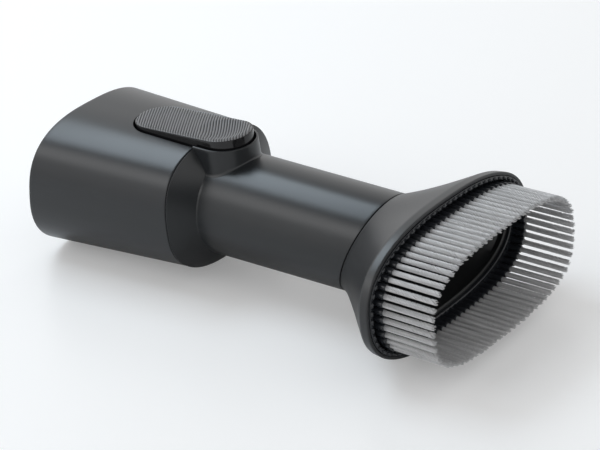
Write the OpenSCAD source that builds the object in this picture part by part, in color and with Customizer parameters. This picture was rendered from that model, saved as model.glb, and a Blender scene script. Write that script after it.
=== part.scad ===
// Furniture brush for a stick vacuum: a collar that plugs onto the machine, a round neck and a turning brush head.
// X runs along the duct towards the bristle tips, Y across and Z up. The origin is the centre of the socket's mouth.

/* [Collar] */
// Length from the socket's mouth to the seam at the shoulder
collar_len = 62.2; // [56:0.5:72]
// How far the collar's rear edge stands behind the socket's mouth
rear_reach = 8; // [5:0.5:12]
// Lean of the rear edge, in millimetres forward for each millimetre up
rear_lean = 0.165; // [0:0.01:0.2]
// Half width of the collar at the rear
rear_half_w = 36.2; // [34:0.2:42]
// Half width of the collar at the seam
seam_half_w = 31.4; // [30:0.2:34]
// Height of the collar above the axis at the rear
rear_top = 28.3; // [28:0.1:30]
// Height of the collar above the axis at the seam
seam_top = 27.0; // [26.6:0.1:28]
// Depth of the collar below the axis at the rear
rear_bottom = 30.2; // [27:0.1:32]
// Depth of the collar below the axis at the seam
seam_bottom = 25.1; // [24.5:0.1:27]
// Wall of the collar
collar_wall = 2.4; // [2:0.1:2.6]

/* [Socket] */
// Radius of the bore that takes the machine's pipe
socket_r = 17.5; // [16:0.1:17.8]
// Depth of that bore
socket_depth = 50; // [44:0.5:54]
// Wall of the socket's sleeve
sleeve_wall = 2.2; // [1.8:0.1:2.3]
// Thickness of the liner plate that closes the collar round the socket
liner_t = 2.6; // [2:0.1:4]

/* [Neck] */
// Radius of the tube where it leaves the shoulder
tube_r = 21.0; // [20.6:0.1:21.4]
// Radius of the tube at the seam of the head
tube_end_r = 20.2; // [20:0.1:20.6]
// Bore radius of the tube
tube_bore_r = 18.2; // [17.6:0.1:18.6]
// Length of the rounded shoulder between the collar and the tube
shoulder_len = 6.2; // [5:0.2:9]
// Distance of the swivel seam in front of the shoulder, on the axis
tube_len = 69.8; // [60:0.5:90]
// Lean of the swivel seam from square, top forward
seam_lean = 23; // [15:1:25]

/* [Button] */
// Centre of the button along the axis
button_x = 52.7; // [50:0.1:55]
// Height of the pad's edge at the centre of the button
button_z = 29.9; // [29.6:0.1:30.6]
// Upward slope of the button towards its front
button_slope = 2.5; // [1.5:0.1:3]
// Half length of the button
button_half_l = 26.8; // [25.5:0.1:28]
// Half width of the button's pad
pad_r = 10.2; // [9.6:0.1:10.4]
// Pitch of the ribs on the pad, along the button
rib_pitch = 1.3; // [1.1:0.1:2]
// Angle of the ribs from square across the button
rib_skew = 34; // [0:1:40]
// Depth of the thumb recess
thumb_depth = 1.5; // [0.8:0.1:1.8]

/* [Head] */
// Distance of the rim's face in front of the swivel seam, on the axis
head_len = 33.5; // [30:0.5:40]
// Half width of the rim
rim_half_w = 49.7; // [48:0.1:56]
// Half height of the rim
rim_half_h = 26.8; // [26:0.1:28.5]
// Length of the straight band round the rim
band_len = 3.6; // [2.5:0.1:5]
// Wall of the head
head_wall = 2.2; // [1.8:0.1:2.4]

/* [Brush] */
// Distance of the tufts' centre line inside the rim, across
tuft_inset_w = 5.6; // [5:0.1:6]
// Distance of the tufts' centre line inside the rim, in height
tuft_inset_h = 6.1; // [5.6:0.1:6.4]
// Distance between two tufts along the ring
tuft_pitch = 2.95; // [2.8:0.05:4]
// Radius of a tuft
tuft_r = 1.05; // [0.8:0.05:1.15]
// Free length of the tufts in front of their sockets
tuft_free_l = 21; // [14:0.5:30]
// Height of the sockets above the carrier's base
tuft_socket_h = 5.2; // [4:0.1:7]

/* [Hidden] */

// Points round each oval section, and how full each section is
oval_n = 72;
collar_full_top = 2.7;
collar_full_bottom = 2.45;
rim_full = 2.95;
fine = 96;
round_fn = 48;
small_gap = 0.3;
fit_gap = 0.05;
over = 1;

// Places along the axis
crease_x = collar_len + shoulder_len;
seam_x = crease_x + tube_len;
rim_x = seam_x + head_len;
lean_ratio = tan(seam_lean);

// Collar and liner
edge_round = 0.9;
neck_lip_len = 4;
neck_lip_wall = 2.2;
post_r = 3.1;
post_len = 12;
post_y = seam_half_w - 2.9;
post_pilot_r = 1.1;
screw_head_r = 2.5;
screw_head_h = 1.5;
screw_shank_r = 1.0;
screw_len = 10;
sleeve_r = socket_r + sleeve_wall;
seal_groove_x = socket_depth - 10;
seal_groove_w = 3;
seal_groove_d = 1.2;
gasket_t = 2;
inlet_x = socket_depth + gasket_t;
inlet_r = sleeve_r + 0.7;

// Button, in its own frame: zero at the pad's edge plane, over the button's centre
lever_r = pad_r + 0.4;
lever_half_l = button_half_l + 0.4;
slot_gap = 0.9;
slot_r = lever_r + slot_gap;
slot_half_l = lever_half_l + slot_gap;
pad_t = 3.2;
lever_rim_top = -0.9;
lever_floor_t = 1.2;
lever_bottom = -5.2;
lever_wall = 1.3;
rib_h = 0.35;
rib_w = rib_pitch * cos(rib_skew) * 0.5;
dome_r = 120;
thumb_r = 9.3;
thumb_sphere_r = (thumb_r * thumb_r + thumb_depth * thumb_depth) / (2 * thumb_depth);
thumb_u = button_half_l - pad_r - 1.5;

// Boss round the front of the button, on the neck
boss_x = button_x + lever_half_l - lever_r;
boss_r = slot_r + 0.7;
boss_foot_r = boss_r + 0.8;
boss_flat = 0.15;
boss_top = button_z - 2.7;
pocket_floor = tube_r + 0.8;

// Lever pivot and latch hook
pin_x = button_x - 8.7;
pin_z = sleeve_r + 3.1;
pin_r = 1.2;
ear_y = slot_r + 1.2;
ear_t = 2.2;
ear_r = 2.8;
lug_y = 6.5;
lug_t = 2.4;
lug_r = 2.6;
hook_x = pin_x - 14;
hook_l = 4;
hook_half_w = 3.2;
hook_clear = 0.3;
hook_slot_gap = 1.3;
spring_x = boss_x + 1.5;
spring_r = 3.2;
wire_r = 0.32;
spring_turns = 2.5;
spring_steps = 16;

// Swivel, along the axis square to the leaning seam
seam_gap = 0.3;
bearing_r = 14.3;
bearing_t = 2.4;
bearing_back = 0.8;
spigot_clear = 0.1;
spigot_r = bearing_r - spigot_clear;
spigot_bore_r = 12.4;
spigot_back = 5.2;
flange_r = 17.6;
flange_near = 0.6;
flange_t = 2;
clip_t = 1.0;
seal_r = 16.4;
clip_r = 16.2;
groove_d = 0.7;
clip_back = bearing_back + bearing_t + 0.25;

// Head, brush carrier and mouth
band_x = rim_x - band_len;
lip_w = 1.2;
carrier_clear = 0.15;
carrier_x = rim_x - 3.7;
carrier_base_t = 1.4;
flange_face = rim_x + 0.3;
flange_w = 1.7;
mouth_inset = 8.8;
mouth_wall = 1.2;
plate_t = 1.6;
plate_inset = head_wall + 1.3;
funnel_wall = 1.6;
socket_out_r = 1.36;
tuft_seat = 0.5;
bump_r = 0.62;
bump_h = 0.3;

tuft_w = rim_half_w - tuft_inset_w;
tuft_h = rim_half_h - tuft_inset_h;
socket_top = carrier_x + carrier_base_t + tuft_socket_h;
tuft_tip = socket_top + tuft_free_l;
tuft_start = carrier_x + tuft_seat;

// Radius of a squared oval at an angle
function oval_r(a, b, full, t) =
    pow(pow(abs(cos(t)) / a, full) + pow(abs(sin(t)) / b, full), -1 / full);
// Points of an oval with its own height and fullness above and below, a flat facet at the lowest place
function oval(a, top, bottom, full_top, full_bottom) =
    [for (i = [0 : oval_n - 1])
        let (t = (i + 0.5) * 360 / oval_n,
             r = oval_r(a, sin(t) >= 0 ? top : bottom, sin(t) >= 0 ? full_top : full_bottom, t))
        [r * cos(t), r * sin(t)]];
function stand(points, x, lean) = [for (p = points) [x + lean * p[1], p[0], p[1]]];
function blend(from, to, k) = [for (i = [0 : len(from) - 1]) from[i] * (1 - k) + to[i] * k];
function mix(a, b, k) = a * (1 - k) + b * k;

// Section of the collar: place k from the rear edge (0) to the seam (1), set in from the outside
function collar_ring(k, inset, shift = 0) =
    stand(oval(mix(rear_half_w, seam_half_w, k) - inset, mix(rear_top, seam_top, k) - inset,
               mix(rear_bottom, seam_bottom, k) - inset, collar_full_top, collar_full_bottom),
          mix(-rear_reach, collar_len, k) + shift, rear_lean * (1 - k));
function round_ring(r, x) = stand(oval(r, r, r, 2, 2), x, 0);
function collar_k(x) = (x + rear_reach) / (collar_len + rear_reach);
function rim_ring(inset, x) =
    stand(oval(rim_half_w - inset, rim_half_h - inset, rim_half_h - inset, rim_full, rim_full), x, 0);
// Ring on the leaning seam, which the round tube cuts as a long circle
function seam_ring(r, shift) = stand(oval(r, r, r, 2, 2), seam_x + shift / cos(seam_lean), lean_ratio);
// Ring about the swivel's own axis, a distance ahead of the seam
function swivel_ring(r, ahead) =
    [for (p = oval(r, r, r, 2, 2))
        [seam_x + ahead * cos(seam_lean) + p[1] * sin(seam_lean), p[0],
         -ahead * sin(seam_lean) + p[1] * cos(seam_lean)]];

// Solid of rings that close on themselves, as a shell with an outer and an inner skin
module shell_of(rings) {
    m = len(rings);
    n = len(rings[0]);
    points = [for (ring = rings) each ring];
    faces = [for (i = [0 : m - 1], j = [0 : n - 1])
        let (i2 = (i + 1) % m, j2 = (j + 1) % n, a = i * n + j, b = i * n + j2, c = i2 * n + j2, d = i2 * n + j)
        each [[a, c, b], [a, d, c]]];
    polyhedron(points, faces);
}

module along_x(x0, x1, r0, r1) {
    translate([x0, 0, 0]) rotate([0, 90, 0]) cylinder(h = x1 - x0, r1 = r0, r2 = r1, $fn = fine);
}

module pill(half_l, r, h) {
    linear_extrude(h) {
        square([2 * (half_l - r), 2 * r], center = true);
        for (side = [-1, 1]) translate([side * (half_l - r), 0]) circle(r, $fn = fine);
    }
}

module button_frame() {
    translate([button_x, 0, button_z]) rotate([0, -button_slope, 0]) children();
}

// Frame of the swivel: its Z runs out of the neck, square to the leaning seam
module swivel_frame() {
    translate([seam_x, 0, 0]) rotate([0, 90 + seam_lean, 0]) children();
}

module across(x, z, y0, y1, r) {
    translate([x, y1, z]) rotate([90, 0, 0]) cylinder(h = y1 - y0, r = r, $fn = round_fn);
}

// Room for the button, cut down through the collar and the boss
module button_slot(floor_z) {
    translate([button_x, 0, floor_z]) pill(slot_half_l, slot_r, 20);
}

module collar_shell() {
    color("#4b4e52") difference() {
        union() {
            shell_of([
                collar_ring(0, edge_round + 0.3), collar_ring(0, 0.5, 0.15), collar_ring(0, 0.15, 0.5),
                collar_ring(0, 0, edge_round), collar_ring(0.5, 0), collar_ring(1, 0, -0.6),
                collar_ring(1, 0.2, -0.15), collar_ring(1, 0.6), collar_ring(1, collar_wall),
                collar_ring(0.5, collar_wall), collar_ring(0, collar_wall, edge_round),
                collar_ring(0, collar_wall - 0.4)]);
            for (side = [-1, 1]) screw_post(side);
            for (side = [-1, 1]) pivot_ear(side);
        }
        button_slot(sleeve_r + small_gap);
        for (side = [-1, 1]) along_y_post(side, post_pilot_r, liner_t - over, liner_t + post_len - 2);
        across(pin_x, pin_z, -ear_y - ear_t - over, ear_y + ear_t + over, pin_r);
    }
}

module along_y_post(side, r, x0, x1) {
    translate([x0, side * post_y, 0]) rotate([0, 90, 0]) cylinder(h = x1 - x0, r = r, $fn = round_fn);
}

// Post for a liner screw, on a rib from the side wall
module screw_post(side) {
    along_y_post(side, post_r, liner_t, liner_t + post_len);
    wall_y = mix(rear_half_w, seam_half_w, collar_k(liner_t + post_len)) - collar_wall / 2;
    translate([liner_t, min(side * post_y, side * wall_y), -1])
        cube([post_len, wall_y - post_y, 2]);
}

// Ear that carries the lever's pin, hanging from the roof beside the slot
module pivot_ear(side) {
    roof = mix(rear_top, seam_top, collar_k(pin_x)) - collar_wall;
    y0 = side > 0 ? ear_y : -ear_y - ear_t;
    across(pin_x, pin_z, y0, y0 + ear_t, ear_r);
    translate([pin_x - ear_r, y0, pin_z]) cube([2 * ear_r, ear_t, roof - pin_z + 0.2]);
}

// Plate inside the collar's mouth, moulded with the sleeve that takes the machine's pipe
module socket_liner() {
    color("#26282b") difference() {
        union() {
            difference() {
                shell_of([
                    stand(liner_outline(0), 0, 0), stand(liner_outline(liner_t), liner_t, 0),
                    round_ring(sleeve_r - 0.5, liner_t), round_ring(sleeve_r - 0.5, 0)]);
                for (side = [-1, 1]) along_y_post(side, screw_shank_r + 0.15, -over, liner_t + over);
            }
            along_x(0, socket_depth, sleeve_r, sleeve_r);
        }
        along_x(-over, socket_depth + over, socket_r, socket_r);
        along_x(seal_groove_x, seal_groove_x + seal_groove_w, socket_r + seal_groove_d, socket_r + seal_groove_d);
        translate([hook_x - hook_l / 2 - hook_slot_gap, -hook_half_w - 0.6, socket_r / 2])
            cube([hook_l + 2 * hook_slot_gap, 2 * hook_half_w + 1.2, socket_r]);
    }
}

// Outline of the collar's inside on a square plane, point by point because the collar's rear leans
function liner_outline(x) =
    let (inset = collar_wall + 0.1, rear = collar_ring(0, inset), front = collar_ring(1, inset))
    [for (i = [0 : oval_n - 1])
        let (k = (x - rear[i][0]) / (front[i][0] - rear[i][0]), p = mix(rear[i], front[i], k))
        [p[1], p[2]]];

module liner_screws() {
    color("#a9abae") for (side = [-1, 1]) difference() {
        union() {
            along_y_post(side, screw_head_r, -screw_head_h, 0);
            along_y_post(side, screw_shank_r, -fit_gap, screw_len);
        }
        translate([-screw_head_h - over, side * post_y, 0]) rotate([0, 90, 0])
            cylinder(h = over + 0.8, r = 1.2, $fn = 6);
    }
}

module socket_seal() {
    color("#1d1d1f") translate([seal_groove_x + seal_groove_w / 2, 0, 0]) rotate([0, 90, 0])
        rotate_extrude($fn = fine) translate([socket_r + seal_groove_d / 2 - 0.1, 0])
            square([seal_groove_d - 0.2, seal_groove_w - 0.4], center = true);
}

module duct_gasket() {
    color("#1d1d1f") difference() {
        along_x(socket_depth, inlet_x, sleeve_r, sleeve_r);
        along_x(socket_depth - over, inlet_x + over, socket_r + 0.2, socket_r + 0.2);
    }
}

// Shoulder from the collar's section to the round tube, with a lip that plugs into the collar
module shoulder() {
    steps = 6;
    lip = collar_wall + 0.15;
    foot = stand([for (p = collar_ring(1, 0)) [p[1], p[2]]], 0, 0);
    inner_foot = stand([for (p = collar_ring(1, lip + neck_lip_wall)) [p[1], p[2]]], 0, 0);
    outer = [for (i = [1 : steps])
        let (t = i * 90 / steps)
        blend(at_x(round_ring(tube_r - 0.3, 0), collar_len + small_gap + (shoulder_len - small_gap) * sin(t)),
              at_x(foot, collar_len + small_gap + (shoulder_len - small_gap) * sin(t)), cos(t))];
    inner = [for (i = [steps : -1 : 1])
        let (t = i * 90 / steps)
        blend(at_x(round_ring(tube_r - neck_lip_wall, 0), collar_len + (shoulder_len - neck_lip_wall) * sin(t)),
              at_x(inner_foot, collar_len + (shoulder_len - neck_lip_wall) * sin(t)), cos(t))];
    shell_of(concat(
        [collar_ring(1, lip, -neck_lip_len), collar_ring(1, lip, small_gap), collar_ring(1, 0.5, small_gap),
         collar_ring(1, 0, small_gap + 0.5)],
        [for (ring = outer) ring],
        inner,
        [collar_ring(1, lip + neck_lip_wall), collar_ring(1, lip + neck_lip_wall, -neck_lip_len)]));
}

function at_x(ring, x) = [for (p = ring) [x, p[1], p[2]]];

// Shoulder, tube and button boss, moulded in one
module neck_tube() {
    color("#3f4246") difference() {
        union() {
            shoulder();
            along_x(inlet_x, crease_x, inlet_r, inlet_r);
            along_x(crease_x - neck_lip_wall - 1, crease_x, tube_r, tube_r);
            along_x(crease_x, seam_x + tube_r, tube_r, mix(tube_r, tube_end_r, (tube_len + tube_r) / tube_len));
            boss();
        }
        along_x(inlet_x - over, seam_x + 2 * tube_r, tube_bore_r, tube_bore_r);
        button_slot(pocket_floor);
        swivel_frame() translate([0, 0, -seam_gap / 2]) cylinder(h = 4 * tube_r, r = 3 * tube_r, $fn = fine);
    }
}

module boss() {
    base_z = tube_bore_r * 0.8;
    difference() {
        union() {
            translate([boss_x, 0, base_z])
                cylinder(h = boss_top - base_z, r1 = boss_foot_r, r2 = boss_r, $fn = fine);
            translate([collar_len + small_gap, -boss_r + boss_flat, base_z])
                cube([boss_x + 3 - collar_len - small_gap, 2 * (boss_r - boss_flat), boss_top - base_z]);
        }
        translate([collar_len + small_gap - 4 * boss_r, -2 * boss_r, 0]) cube([4 * boss_r, 4 * boss_r, boss_top + over]);
    }
}

module bearing_ring() {
    color("#8b8d90") intersection() {
        swivel_frame() translate([0, 0, -bearing_back - bearing_t]) difference() {
            cylinder(h = bearing_t, r = tube_bore_r * 1.5, $fn = fine);
            translate([0, 0, -over]) cylinder(h = bearing_t + 2 * over, r = bearing_r, $fn = fine);
        }
        along_x(seam_x - tube_r, seam_x + tube_r, tube_bore_r, tube_bore_r);
    }
}

module button_lever() {
    tray_floor = -pad_t - lever_floor_t;
    color("#101113") difference() {
        union() {
            button_frame() difference() {
                translate([0, 0, lever_bottom]) pill(lever_half_l, lever_r, lever_rim_top - lever_bottom);
                translate([0, 0, -pad_t]) pill(button_half_l + fit_gap, pad_r + fit_gap, pad_t);
                translate([0, 0, lever_bottom - over])
                    pill(lever_half_l - lever_wall, lever_r - lever_wall, tray_floor - lever_bottom + over);
            }
            for (side = [-1, 1]) lever_lug(side);
            latch_hook();
        }
        across(pin_x, pin_z, -lug_y - lug_t - over, lug_y + lug_t + over, pin_r + fit_gap);
    }
}

module lever_lug(side) {
    y0 = side > 0 ? lug_y : -lug_y - lug_t;
    top = button_z - pad_t - lever_floor_t - 0.2;
    across(pin_x, pin_z, y0, y0 + lug_t, lug_r);
    translate([pin_x - lug_r, y0, pin_z]) cube([2 * lug_r, lug_t, top - pin_z]);
}

// Arm and tooth that hold the machine's sprung catch in the slot of the sleeve
module latch_hook() {
    top = button_z - pad_t - lever_floor_t - 0.6;
    tip = socket_r + hook_clear;
    translate([hook_x, hook_half_w, 0]) rotate([90, 0, 0]) linear_extrude(2 * hook_half_w)
        polygon([[-hook_l / 2, top], [hook_l / 2, top], [hook_l / 2, tip], [0.4, tip], [-hook_l / 2, tip + 2.2]]);
}

// Form of the pad's top: a slight dome with a thumb recess at the front
module pad_form() {
    difference() {
        intersection() {
            translate([0, 0, -pad_t]) pill(button_half_l, pad_r, pad_t + 2);
            translate([-2 * button_half_l, 0, 0.6 - dome_r]) rotate([0, 90, 0])
                cylinder(h = 4 * button_half_l, r = dome_r, $fn = 256);
        }
        translate([thumb_u, 0, thumb_sphere_r - thumb_depth + 0.4]) sphere(thumb_sphere_r, $fn = 128);
    }
}

module button_pad() {
    count = floor(2 * (button_half_l + pad_r * tan(rib_skew)) / rib_pitch);
    color("#8e8e91") button_frame() {
        translate([0, 0, -rib_h]) intersection() {
            pad_form();
            translate([0, 0, rib_h - pad_t]) pill(button_half_l, pad_r, 2 * pad_t);
        }
        intersection() {
            difference() {
                pad_form();
                translate([0, 0, -pad_t - over]) pill(button_half_l + over, pad_r + over, over + 1);
            }
            for (i = [-count / 2 : count / 2])
                translate([i * rib_pitch, 0, 0]) rotate([0, 0, rib_skew])
                    cube([rib_w, 4 * pad_r, 2 * pad_t], center = true);
        }
    }
}

module lever_pin() {
    color("#b4b6b9") across(pin_x, pin_z, -ear_y - ear_t, ear_y + ear_t, pin_r);
}

// Coil under the front of the lever, standing on the pocket's floor
module button_spring() {
    top = button_z + (spring_x - button_x) * sin(button_slope) - pad_t - lever_floor_t - 0.15;
    rise = top - pocket_floor - 2 * wire_r - 0.1;
    n = spring_turns * spring_steps;
    rings = [for (i = [0 : n]) let (t = i * 360 / spring_steps)
        [for (j = [0 : 7]) let (u = j * 45 + 22.5, r = spring_r + wire_r * cos(u))
            [spring_x + r * cos(t), r * sin(t), pocket_floor + wire_r + 0.05 + rise * i / n + wire_r * sin(u)]]];
    points = [for (ring = rings) each ring];
    sides = [for (i = [0 : n - 1], j = [0 : 7])
        let (j2 = (j + 1) % 8, a = i * 8 + j, b = i * 8 + j2, c = (i + 1) * 8 + j2, d = (i + 1) * 8 + j)
        each [[a, b, c], [a, c, d]]];
    ends = [[for (j = [7 : -1 : 0]) j], [for (j = [0 : 7]) n * 8 + j]];
    color("#c2c4c6") polyhedron(points, concat(sides, ends));
}

module swivel_spigot() {
    color("#2b2d30") swivel_frame() difference() {
        union() {
            translate([0, 0, -spigot_back]) cylinder(h = spigot_back + flange_near + flange_t, r = spigot_r, $fn = fine);
            translate([0, 0, flange_near]) cylinder(h = flange_t, r = flange_r, $fn = fine);
        }
        translate([0, 0, -spigot_back - over])
            cylinder(h = spigot_back + flange_near + flange_t + 2 * over, r = spigot_bore_r, $fn = fine);
        translate([0, 0, -clip_back - clip_t - 0.1]) difference() {
            cylinder(h = clip_t + 0.2, r = spigot_r + over, $fn = fine);
            translate([0, 0, -over]) cylinder(h = clip_t + 2 * over, r = spigot_r - groove_d, $fn = fine);
        }
    }
}

module clip_ring() {
    gap_w = 7;
    color("#b4b6b9") swivel_frame() translate([0, 0, -clip_back - clip_t]) difference() {
        cylinder(h = clip_t, r = clip_r, $fn = fine);
        translate([0, 0, -over]) cylinder(h = clip_t + 2 * over, r = spigot_r - groove_d + fit_gap, $fn = fine);
        translate([0, -gap_w / 2, -over]) cube([2 * clip_r, gap_w, clip_t + 2 * over]);
    }
}

module swivel_seal() {
    seal_in = spigot_r + fit_gap;
    color("#1d1d1f") swivel_frame() rotate_extrude($fn = fine)
        translate([seal_in, -bearing_back + 0.1]) square([seal_r - seal_in, flange_near + bearing_back - 0.1]);
}

// Flared shell from the leaning round seam to the wide rim
module head_shell() {
    band = rim_ring(0, band_x);
    corner = rim_ring(2.0, band_x - 1.9);
    root = seam_ring(tube_end_r, seam_gap / 2 + 0.4);
    inner_root = swivel_ring(flange_r + carrier_clear, flange_near + flange_t);
    color("#4b4e52") shell_of([
        seam_ring(tube_end_r - 0.4, seam_gap / 2), root,
        blend(root, corner, 0.35), blend(root, corner, 0.7), corner,
        rim_ring(1.0, band_x - 1.2), rim_ring(0.3, band_x - 0.4), rim_ring(0, band_x + 0.5),
        rim_ring(0, rim_x - 0.5), rim_ring(0.15, rim_x - 0.15), rim_ring(0.5, rim_x),
        rim_ring(lip_w, rim_x), rim_ring(lip_w, carrier_x), rim_ring(plate_inset, carrier_x),
        rim_ring(plate_inset, carrier_x - plate_t), inner_corner_ring(),
        blend(inner_root, inner_corner_ring(), 0.5), inner_root,
        swivel_ring(flange_r + carrier_clear, flange_near), swivel_ring(seal_r + carrier_clear, flange_near),
        swivel_ring(seal_r + carrier_clear, seam_gap / 2)]);
}

function inner_corner_ring() = rim_ring(head_wall + 3.0, carrier_x - plate_t - 1.2);

// Funnel from the round spigot to the oval mouth, with the plate that carries the brush
module suction_funnel() {
    start = flange_near + flange_t;
    color("#17181a") shell_of([
        swivel_ring(spigot_bore_r, start), swivel_ring(spigot_bore_r + funnel_wall, start),
        blend(swivel_ring(spigot_bore_r + funnel_wall, start),
              rim_ring(mouth_inset - mouth_wall, carrier_x - plate_t), 0.5),
        rim_ring(mouth_inset - mouth_wall, carrier_x - plate_t - 0.4),
        rim_ring(mouth_inset - mouth_wall - 0.3, carrier_x - plate_t),
        rim_ring(plate_inset + carrier_clear, carrier_x - plate_t), rim_ring(plate_inset + carrier_clear, carrier_x),
        rim_ring(mouth_inset - mouth_wall, carrier_x), rim_ring(mouth_inset - 0.4, carrier_x),
        rim_ring(mouth_inset, carrier_x - 0.4), rim_ring(mouth_inset, carrier_x - plate_t),
        blend(swivel_ring(spigot_bore_r, start), rim_ring(mouth_inset, carrier_x - plate_t), 0.5)]);
}

// Even steps along the tufts' oval: length so far against angle, then the angle for each tuft
path_n = 360;
function ring_point(a, b, t) = oval_r(a, b, rim_full, t) * [cos(t), sin(t)];
function lengths(a, b, i = 0, so_far = 0, out = []) =
    i > path_n ? out
    : lengths(a, b, i + 1,
              so_far + norm(ring_point(a, b, (i + 1) * 360 / path_n) - ring_point(a, b, i * 360 / path_n)),
              concat(out, [[so_far, i * 360 / path_n]]));
tuft_table = lengths(tuft_w, tuft_h);
tuft_ring_l = tuft_table[path_n][0];
tuft_count = floor(tuft_ring_l / tuft_pitch);
function tuft_angle(i) = lookup((i + 0.5) * tuft_ring_l / tuft_count, tuft_table);

module at_tufts(w, h, x) {
    for (i = [0 : tuft_count - 1]) {
        p = ring_point(w, h, tuft_angle(i));
        translate([x, p[0], p[1]]) rotate([0, 90, 0]) children();
    }
}

// Ring that seats in the rim, with a moulded socket for each tuft and a beaded flange on both sides
module brush_carrier() {
    out = lip_w + carrier_clear;
    inn = mouth_inset - mouth_wall;
    base_top = carrier_x + carrier_base_t;
    color("#1b1d20") difference() {
        union() {
            shell_of([
                rim_ring(out, carrier_x), rim_ring(out, flange_face), rim_ring(out + flange_w, flange_face),
                rim_ring(out + flange_w, base_top), rim_ring(inn, base_top), rim_ring(inn, carrier_x)]);
            at_tufts(tuft_w, tuft_h, base_top - over)
                cylinder(h = tuft_socket_h + over, r = socket_out_r, $fn = 24);
            at_tufts(rim_half_w - out - flange_w / 2, rim_half_h - out - flange_w / 2, flange_face - over)
                cylinder(h = over + bump_h, r = bump_r, $fn = 16);
        }
        at_tufts(tuft_w, tuft_h, tuft_start)
            cylinder(h = tuft_tip - tuft_start, r = tuft_r + fit_gap, $fn = 24);
    }
}

module bristle_tufts() {
    color("#c9cbcc") at_tufts(tuft_w, tuft_h, tuft_start)
        cylinder(h = tuft_tip - tuft_start, r = tuft_r, $fn = 24);
}

collar_shell();
socket_liner();
liner_screws();
socket_seal();
duct_gasket();
neck_tube();
bearing_ring();
button_lever();
button_pad();
lever_pin();
button_spring();
swivel_spigot();
clip_ring();
swivel_seal();
head_shell();
suction_funnel();
brush_carrier();
bristle_tufts();
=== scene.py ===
import math

import bmesh
import bpy
import numpy as np
from mathutils import Matrix, Vector


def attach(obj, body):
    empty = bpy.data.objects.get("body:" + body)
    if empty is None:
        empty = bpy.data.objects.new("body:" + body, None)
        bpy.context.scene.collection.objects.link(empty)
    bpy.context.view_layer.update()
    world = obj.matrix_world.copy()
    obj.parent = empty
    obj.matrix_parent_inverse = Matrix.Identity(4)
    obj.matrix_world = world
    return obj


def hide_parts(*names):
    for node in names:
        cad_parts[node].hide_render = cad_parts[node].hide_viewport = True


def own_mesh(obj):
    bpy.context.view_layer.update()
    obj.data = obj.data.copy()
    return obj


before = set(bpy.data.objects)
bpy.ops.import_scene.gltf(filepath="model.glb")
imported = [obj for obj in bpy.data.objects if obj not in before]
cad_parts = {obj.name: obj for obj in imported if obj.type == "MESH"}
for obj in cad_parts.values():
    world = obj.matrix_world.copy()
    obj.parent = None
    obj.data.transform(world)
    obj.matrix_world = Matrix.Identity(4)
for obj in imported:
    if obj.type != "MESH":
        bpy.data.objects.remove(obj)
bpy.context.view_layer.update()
print("stage: frame loaded")

mm = 0.001
sides = 288  # points round each large section
seed = np.random.default_rng(11)

# Sizes that several pieces share, in millimetres, as the frame has them
body = {
    "collarLen": 62.2, "rearReach": 8.0, "rearLean": 0.165, "rearHalfW": 36.2, "seamHalfW": 31.4,
    "rearTop": 28.3, "seamTop": 27.0, "rearBottom": 30.2, "seamBottom": 25.1, "wall": 2.4,
    "fullTop": 2.7, "fullBottom": 2.45,
    "tubeR": 21.0, "tubeEndR": 20.2, "boreR": 18.2, "creaseX": 68.4,
    "seamX": 138.2, "seamLean": 23.0, "rimX": 171.7, "rimHalfW": 49.9, "rimHalfH": 26.6, "rimFull": 2.5,
    "smallGap": 0.3,
}
leanRatio = math.tan(math.radians(body["seamLean"]))


# Surfaces are worked out as arrays of points

def mix(a, b, k):
    return a * (1 - k) + b * k


def turn(count):
    # angles round a section, none of them on an axis
    return (np.arange(count) + 0.5) * 2 * np.pi / count


def arc(count, start, stop):
    # angles in degrees to radians, evenly spaced
    return np.radians(np.linspace(start, stop, count))


def ovalPoints(halfWidth, above, below, fullAbove, fullBelow, angles):
    # squared oval: |y / width| to a power plus |z / height| to the same power is one
    c, s = np.cos(angles)[None, :], np.sin(angles)[None, :]
    tall = np.where(s >= 0, above[:, None], below[:, None])
    full = np.where(s >= 0, fullAbove, fullBelow)
    r = ((np.abs(c) / halfWidth[:, None]) ** full + (np.abs(s) / tall) ** full) ** (-1 / full)
    return r * c, r * s


def columns(*values):
    return [np.atleast_1d(np.asarray(v, float)) for v in np.broadcast_arrays(*values)]


def collarRings(k, inset=0.0, shift=0.0, count=sides):
    # straight lines from the rear section to the section at the seam, set in from the outside
    k, inset, shift = columns(k, inset, shift)
    y, z = ovalPoints(mix(body["rearHalfW"], body["seamHalfW"], k) - inset,
                      mix(body["rearTop"], body["seamTop"], k) - inset,
                      mix(body["rearBottom"], body["seamBottom"], k) - inset,
                      body["fullTop"], body["fullBottom"], turn(count))
    x = (mix(-body["rearReach"], body["collarLen"], k) + shift)[:, None]
    x = x + (body["rearLean"] * (1 - k))[:, None] * z
    return np.stack([x, y, z], -1)


def roundRings(x, r, count=sides):
    x, r = columns(x, r)
    y, z = ovalPoints(r, r, r, 2, 2, turn(count))
    return np.stack([np.broadcast_to(x[:, None], y.shape), y, z], -1)


def rimRings(inset, x, count=sides):
    x, inset = columns(x, inset)
    y, z = ovalPoints(body["rimHalfW"] - inset, body["rimHalfH"] - inset, body["rimHalfH"] - inset,
                      body["rimFull"], body["rimFull"], turn(count))
    return np.stack([np.broadcast_to(x[:, None], y.shape), y, z], -1)


def seamRings(r, ahead, count=sides):
    # rings on planes along the leaning seam, r from the tube's axis
    r, ahead = columns(r, ahead)
    y, z = ovalPoints(r, r, r, 2, 2, turn(count))
    x = body["seamX"] + (ahead / math.cos(math.radians(body["seamLean"])))[:, None] + leanRatio * z
    return np.stack([x, y, z], -1)


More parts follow.
